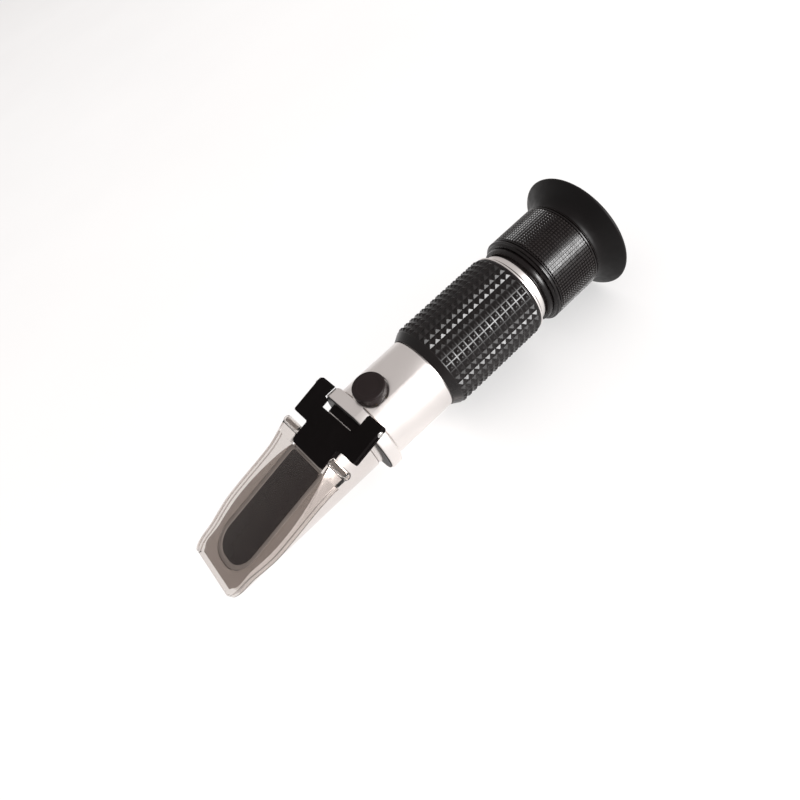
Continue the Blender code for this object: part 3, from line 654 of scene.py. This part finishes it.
def build_block_screws():
    shank, head = 0.62, 0.95
    slot_half = Vector((1.2, 0.2, 0.12))
    for name, side in (("left", 1), ("right", -1)):
        inner, shoulder, outer = (side * d for d in (13.6, LOBE_OUTER + 0.15, LOBE_OUTER + 0.6))
        profile = [(inner, 0), (inner, shank), (shoulder, shank), (shoulder, head),
                   (outer - side * 0.28, head), (outer - side * 0.08, 0.75), (outer, 0.45), (outer, 0)]
        screw = as_object(f"saddle_screw_{name}", turned(profile, SCREW_ROUND, "Y", SCREW_AT), FACE_FRAME)
        slot_at = Vector((SCREW_AT[0], outer, SCREW_AT[1]))
        shaped(screw, box(slot_at - slot_half, slot_at + slot_half), FACE_FRAME)
        finished(softened(screw, 0.04, 1), STEEL, "body", f"block_screw_{name}")


def build_pin():
    end, radius = 16.8, 0.6
    profile = rounded([(-end, 0), (-end, radius, 0.15), (end, radius, 0.15), (end, 0)], 3, closed=False)
    finished(as_object("pivot_pin", turned(profile, SCREW_ROUND, "Y"), FACE_FRAME),
             STEEL, "body", "hinge_pin")


# ---------------------------------------------------------------- body

COLLAR_FRONT, COLLAR_RADIUS = 0.35, 14.8
COLLAR_FLAT = 13.1
TUBE_RADIUS = 12.8
CAP_AT = (9.7, 0)
GRIP_FRONT = 27.5


def cut_flats(obj, height):
    """Cuts the upper and lower spanner flats at this height above and below the axis."""
    for low, high in ((height, 20), (-20, -height)):
        shaped(obj, box((-5, -20, low), (10, 20, high)), AXIS_FRAME)


def build_collar():
    rear, bore, lip, lip_rear = 4.4, 11.9, 11.3, 0.7
    profile = rounded([
        (COLLAR_FRONT, lip), (COLLAR_FRONT, COLLAR_RADIUS - 0.25, 0.08),
        (COLLAR_FRONT + 0.25, COLLAR_RADIUS, 0.1), (rear - 0.5, COLLAR_RADIUS, 0.15),
        (rear, COLLAR_RADIUS - 0.5, 0.12), (rear, bore), (lip_rear, bore), (lip_rear, lip),
    ], 3)
    collar = as_object("spanner_collar", turned(profile, FINE_ROUND), AXIS_FRAME)
    cut_flats(collar, COLLAR_FLAT)
    finished(softened(collar, 0.13, 2, 40), TURNED_ALUMINIUM, "body", "collar_nut")


def build_seal_and_shade_washer():
    # The head's seal, widened into a black face in front of the collar: partly the real seal, partly painted shade
    # on the collar's front face.
    front, rear, inner_rear = 0.0, COLLAR_FRONT - 0.05, 1.1
    bore, step, radius = 11.05, 11.25, 14.35
    profile = rounded([(front, bore), (front, radius, 0.1), (rear, radius), (rear, step),
                       (inner_rear, step), (inner_rear, bore)], 3)
    washer = as_object("seal_and_shade_washer", turned(profile), AXIS_FRAME)
    cut_flats(washer, COLLAR_FLAT - 0.35)
    finished(washer, INNER_BLACK, "body", "head_seal")


def build_tube():
    front, front_radius, shoulder = 1.4, 11.6, 4.7
    sleeve_seat, thin_radius, rear, thin_bore, thin_front = 27.2, 12.4, 65.1, 11.1, 58.5
    bore = 10.3
    profile = rounded([
        (front, bore), (front, front_radius), (shoulder, front_radius), (shoulder, TUBE_RADIUS, 0.35),
        (sleeve_seat, TUBE_RADIUS, 0.1), (sleeve_seat, thin_radius), (rear, thin_radius),
        (rear, thin_bore), (thin_front, thin_bore), (thin_front, bore),
    ], 4)
    tube = as_object("tube", turned(profile, FINE_ROUND), TUBE_FRAME)
    spot_face, above = 11.6, 16
    shaped(tube, rod(spot_face, above, 5.6, CAP_ROUND, "Z", CAP_AT), TUBE_FRAME)
    shaped(tube, rod(6, above, 3.7, BUSH_ROUND, "Z", CAP_AT), TUBE_FRAME)
    finished(softened(tube, 0.10, 2, 40), TURNED_ALUMINIUM, "body", "main_tube")


def build_cap():
    """The black cap: a skirt round the bush, a closed top and a faint rim round its dished face."""
    bottom, inside_top, top, dish = 11.9, 14.2, 15.2, 15.12
    bore, radius = 3.75, 5.1
    profile = rounded([
        (inside_top, 0), (inside_top, bore, 0.3), (bottom, bore), (bottom, radius, 0.15),
        (top, radius, 0.55), (top, 3.6, 0.1), (dish, 3.3, 0.1), (dish, 0),
    ], 5, closed=False)
    finished(as_object("rubber_cap", turned(profile, CAP_ROUND, "Z", CAP_AT), TUBE_FRAME),
             CAP, "screw_cap", "screw_cap")


def cells(start, pitch, count, valley, tip):
    """(position, is a tip) for the four lines of each of the cells of a pyramid pattern."""
    for index in range(count):
        low = start + index * pitch + valley / 2
        high = low + pitch - valley
        middle = (low + high) / 2
        yield from ((low, False), (middle - tip / 2, True), (middle + tip / 2, True), (high, False))


def pyramid_sleeve(front, rear, length, around, base, height, valley, tip, crossing=0.0):
    """A sleeve: smooth (x, r) ends, and between them rows of small pyramids on a base radius.

    The length is (start, pitch, rows). A crossing height joins the pyramids of a line into one rib.
    """
    bm = bmesh.new()
    turn = 2 * math.pi / around
    across = list(cells(0, turn, around, valley / base, tip / base))
    count = len(across)
    rings = [(x, [r] * count, False) for x, r in front]
    for x, peak_row in cells(*length, valley, tip):
        rib = base + (height if peak_row else crossing)
        rings.append((x, [rib if peak else base for _, peak in across], peak_row))
    rings += [(x, [r] * count, False) for x, r in rear]
    made = [
        [bm.verts.new((x, r * math.sin(a), r * math.cos(a))) for r, (a, _) in zip(radii, across)]
        for x, radii, _ in rings
    ]
    for index in range(len(made)):
        first, second = made[index], made[(index + 1) % len(made)]
        peak_first, peak_second = rings[index][2], rings[(index + 1) % len(made)][2]
        for step in range(count):
            after = (step + 1) % count
            quad = (first[step], first[after], second[after], second[step])
            if peak_first == peak_second or across[step][1] == across[after][1]:
                bm.faces.new(quad)
            elif across[after][1] == peak_second:
                # At a pyramid's corner the fold runs from its foot to its tip.
                bm.faces.new((quad[0], quad[1], quad[2]))
                bm.faces.new((quad[0], quad[2], quad[3]))
            else:
                bm.faces.new((quad[0], quad[1], quad[3]))
                bm.faces.new((quad[1], quad[2], quad[3]))
    return bm


def build_grip():
    base, height, valley, tip = 14.47, 0.53, 0.32, 0.22
    bore, band, first_row, rows, pitch, around = 12.7, 14.6, 30.16, 15, 2.286, 40
    last_row, rear = 64.5, 65.1
    front_end = rounded([(GRIP_FRONT, bore), (GRIP_FRONT, 13.1, 0.12), (30.05, band, 0.12),
                         (first_row, base)], 4, closed=False)
    rear_end = rounded([(last_row, base), (64.62, band, 0.1), (rear, 14.5, 0.35), (rear, bore)],
                       4, closed=False)
    sleeve = pyramid_sleeve(front_end, rear_end, (first_row, pitch, rows), around,
                            base, height, valley, tip)
    finished(as_object("pyramid_grip", sleeve, TUBE_FRAME), GRIP, "body", "grip_sleeve", sharp=20)


def build_bright_ring():
    front, flange, flange_rear, groove_floor = 65.3, 14.45, 65.9, 12.4
    band_front, band, bore = 66.6, 12.95, 11.1
    profile = rounded([
        (front, bore), (front, flange, 0.15), (flange_rear, flange, 0.15),
        (flange_rear, groove_floor, 0.05), (band_front, groove_floor, 0.05), (band_front, band, 0.1),
        (TAIL_REAR, band, 0.3), (TAIL_REAR, bore),
    ], 4)
    finished(as_object("bright_ring", turned(profile), TUBE_FRAME), TURNED_ALUMINIUM, "body", "tail_ring")


def build_painted_shade_ring():
    # A black ring in the bright ring's groove, which paints the flange's shade there as a dark line.
    front, rear, bore, radius = 65.95, 66.55, 12.45, 13.75
    profile = rounded([(front, bore), (front, radius, 0.2), (rear, radius, 0.25), (rear, bore)], 4)
    finished(as_object("painted_shade_ring", turned(profile), TUBE_FRAME), SOFT, "body", slot="black_rubber")


# ---------------------------------------------------------------- eyepiece

RING_BORE = 12.8
RING_RIDGE = 15.6
KNURL_BASE = 15.28


def build_focus_ring():
    """The knurled ring, with a stepped nose in front, ridges at both ends and a seat for the cup."""
    front, nose, nose_radius, rear = 86.65, 69.5, 13.95, 93.9
    step, neck_bore, cup_seat = 13.8, 8.5, 14.0
    knurl_front, knurl_length, rows, around = 74.0, 15.3, 16, 88
    height, valley, tip, crossing = 0.30, 0.26, 0.58, 0.16
    last_ridge = RING_RIDGE - 0.1
    front_end = rounded([
        (front, neck_bore), (front, RING_BORE), (nose, RING_BORE), (nose, nose_radius, 0.35),
        (70.9, 14.1, 0.2), (71.0, step, 0.1), (71.25, step, 0.1), (71.35, 14.75, 0.2),
        (72.0, 15.0, 0.2), (72.2, RING_RIDGE, 0.12), (72.75, RING_RIDGE, 0.15), (72.95, 15.15, 0.08),
        (73.2, 15.15, 0.08), (73.4, RING_RIDGE - 0.05, 0.1), (73.7, RING_RIDGE - 0.05, 0.1),
        (73.85, KNURL_BASE - 0.1),
    ], 4, closed=False)
    rear_end = rounded([
        (89.35, KNURL_BASE - 0.1), (89.55, last_ridge, 0.1), (90.0, last_ridge, 0.1),
        (90.15, 15.05, 0.06), (90.3, 15.05, 0.06), (90.45, last_ridge, 0.1),
        (90.8, RING_RIDGE - 0.25, 0.12), (90.8, cup_seat), (rear, cup_seat), (rear, 11.2),
        (88.45, 11.2), (88.45, neck_bore),
    ], 4, closed=False)
    ring = pyramid_sleeve(front_end, rear_end, (knurl_front, knurl_length / rows, rows), around,
                          KNURL_BASE, height, valley, tip, crossing)
    finished(as_object("knurled_ring", ring, TUBE_FRAME), ANODISED, "focus", "focus_ring", sharp=25)


def build_eyecup():
    """The flared cup: an outside that opens like a bell, a rolled rim and a dished mouth."""
    front, seat, rim_start, mouth_floor = 91.1, 14.3, (97.0, 20.4), 94.2
    outside = smooth([(front, 15.0), (92.2, 15.25), (93.6, 16.1), (95.0, 17.65), (96.3, 19.45),
                      rim_start], 5)
    rim = smooth([rim_start, (97.45, 20.68), (98.1, 20.4), (98.5, 19.7)], 4)
    mouth = smooth([(98.5, 18.3), (98.0, 17.9), (96.9, 16.9), (95.6, 14.7), (94.6, 13.0),
                    (mouth_floor, 12.2)], 5)
    profile = outside[:-1] + rim + mouth + [(mouth_floor, seat), (front, seat)]
    finished(as_object("flared_cup", turned(profile), TUBE_FRAME), SOFT, "focus", "eyecup")


def build_neck():
    """The fixed neck that the ring turns on, with a groove for its seal and a hole for the key."""
    front, shoulder, rear = 59.5, 69.1, 84.0
    bore, plug, radius = 9.9, 10.8, 12.4
    groove_front, groove_rear, groove_floor = 74.0, 75.6, 11.4
    profile = rounded([
        (front, bore), (front, plug), (shoulder, plug), (shoulder, radius, 0.3),
        (groove_front, radius, 0.1), (groove_front, groove_floor), (groove_rear, groove_floor),
        (groove_rear, radius, 0.1), (rear, radius, 0.3), (rear, bore, 0.2),
    ], 3)
    neck = as_object("fixed_neck", turned(profile), TUBE_FRAME)
    shaped(neck, rod(9, 14, 0.92, KEY_ROUND, "Z", (78.0, 0)), TUBE_FRAME)
    finished(neck, ANODISED, "body", "focus_neck")


def build_retainer():
    front, flange_front, rear = 84.6, 88.75, 89.8
    profile = rounded([
        (front, 6.8), (front, 7.9), (flange_front, 7.9), (flange_front, 10.4, 0.1), (rear, 10.4, 0.3),
        (rear, 8.3, 0.2),
    ], 4)
    finished(as_object("threaded_retainer", turned(profile, CAP_ROUND), TUBE_FRAME),
             INNER_BLACK, "eyepiece", "lens_retainer")


def lens_face(x, depth, radius, steps=10):
    """Points from the middle to the edge of a bulging lens face."""
    shares = [step / steps for step in range(steps + 1)]
    return [(x + depth * share * share, radius * share) for share in shares]


def build_eye_lens():
    front, thickness, radius, bulge = 80.3, 4.0, 7.9, 1.1
    profile = (lens_face(front, bulge, radius)
               + lens_face(front + thickness, -bulge, radius)[::-1])
    finished(as_object("eye_lens_glass", turned(profile, CAP_ROUND), TUBE_FRAME),
             LENS, "eyepiece", "eye_lens")


def dress_inner_nodes():
    """Carried-over CAD nodes, which show only through glass or in a pose, get fine materials too."""
    finishes = {
        "steel": STEEL, "brass": BRASS, "optical_glass": LENS, "black_anodised": INNER_BLACK,
        "black_rubber": SOFT, "satin_aluminium": ALUMINIUM, "sealant": SEALANT,
    }
    for name, slot in SLOTS.items():
        node = frame["nodes"][name]
        if not node.hide_render:
            node.data.materials.clear()
            node.data.materials.append(finishes[slot])


# ---------------------------------------------------------------- studio

def build_floor():
    size, gap = 6, 0.0004
    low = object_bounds()[0].z
    bpy.ops.mesh.primitive_plane_add(size=size, location=(0, 0, low - gap))
    floor = bpy.context.object
    floor.name = "floor"
    g = Graph("floor_paper")
    g.feed(g.colours(g.noise(6, detail=3), (0.82, 0.82, 0.82), (0.84, 0.84, 0.84)), "Base Color")
    g.constant(Roughness=0.9, Specular_IOR_Level=0.1)
    floor.data.materials.append(g.material)


def light_world():
    world = bpy.data.worlds.new("studio")
    bpy.context.scene.world = world
    world.use_nodes = True
    background = world.node_tree.nodes["Background"]
    background.inputs["Color"].default_value = (1.0, 0.96, 0.945, 1)
    background.inputs["Strength"].default_value = 0.62


def place_key_panel():
    """One large panel, which casts no hard shadow."""
    at = Vector((2.4, -5.0, 2.1))
    light = bpy.data.lights.new("key_panel", "AREA")
    light.shape = "RECTANGLE"
    light.size, light.size_y = 2.3, 2.4
    light.energy = 680.0
    light.use_shadow = False
    placed = bpy.data.objects.new("key_panel", light)
    placed.location = at
    placed.rotation_euler = (-at).to_track_quat("-Z", "Y").to_euler()
    bpy.context.scene.collection.objects.link(placed)


def place_camera():
    place = (-22.645, -140.787, 148.027)        # in the axis frame
    turn = (39.70, 21.51, -39.35)
    camera = bpy.data.cameras.new("camera")
    camera.sensor_width = 36
    camera.lens = 30.41
    camera.clip_start = 0.005
    placed = bpy.data.objects.new("camera", camera)
    placed.location = AXIS_FRAME @ Vector([distance * MM for distance in place])
    placed.rotation_euler = [math.radians(angle) for angle in turn]
    bpy.context.scene.collection.objects.link(placed)
    bpy.context.scene.camera = placed


build_head()
build_prism()
build_prism_seal()
build_plate()
build_block()
build_block_screws()
build_pin()
build_collar()
build_seal_and_shade_washer()
build_tube()
build_cap()
build_grip()
build_bright_ring()
build_painted_shade_ring()
build_focus_ring()
build_eyecup()
build_neck()
build_retainer()
build_eye_lens()
dress_inner_nodes()
build_floor()
light_world()
place_key_panel()
place_camera()
bpy.context.scene.view_settings.view_transform = "Standard"
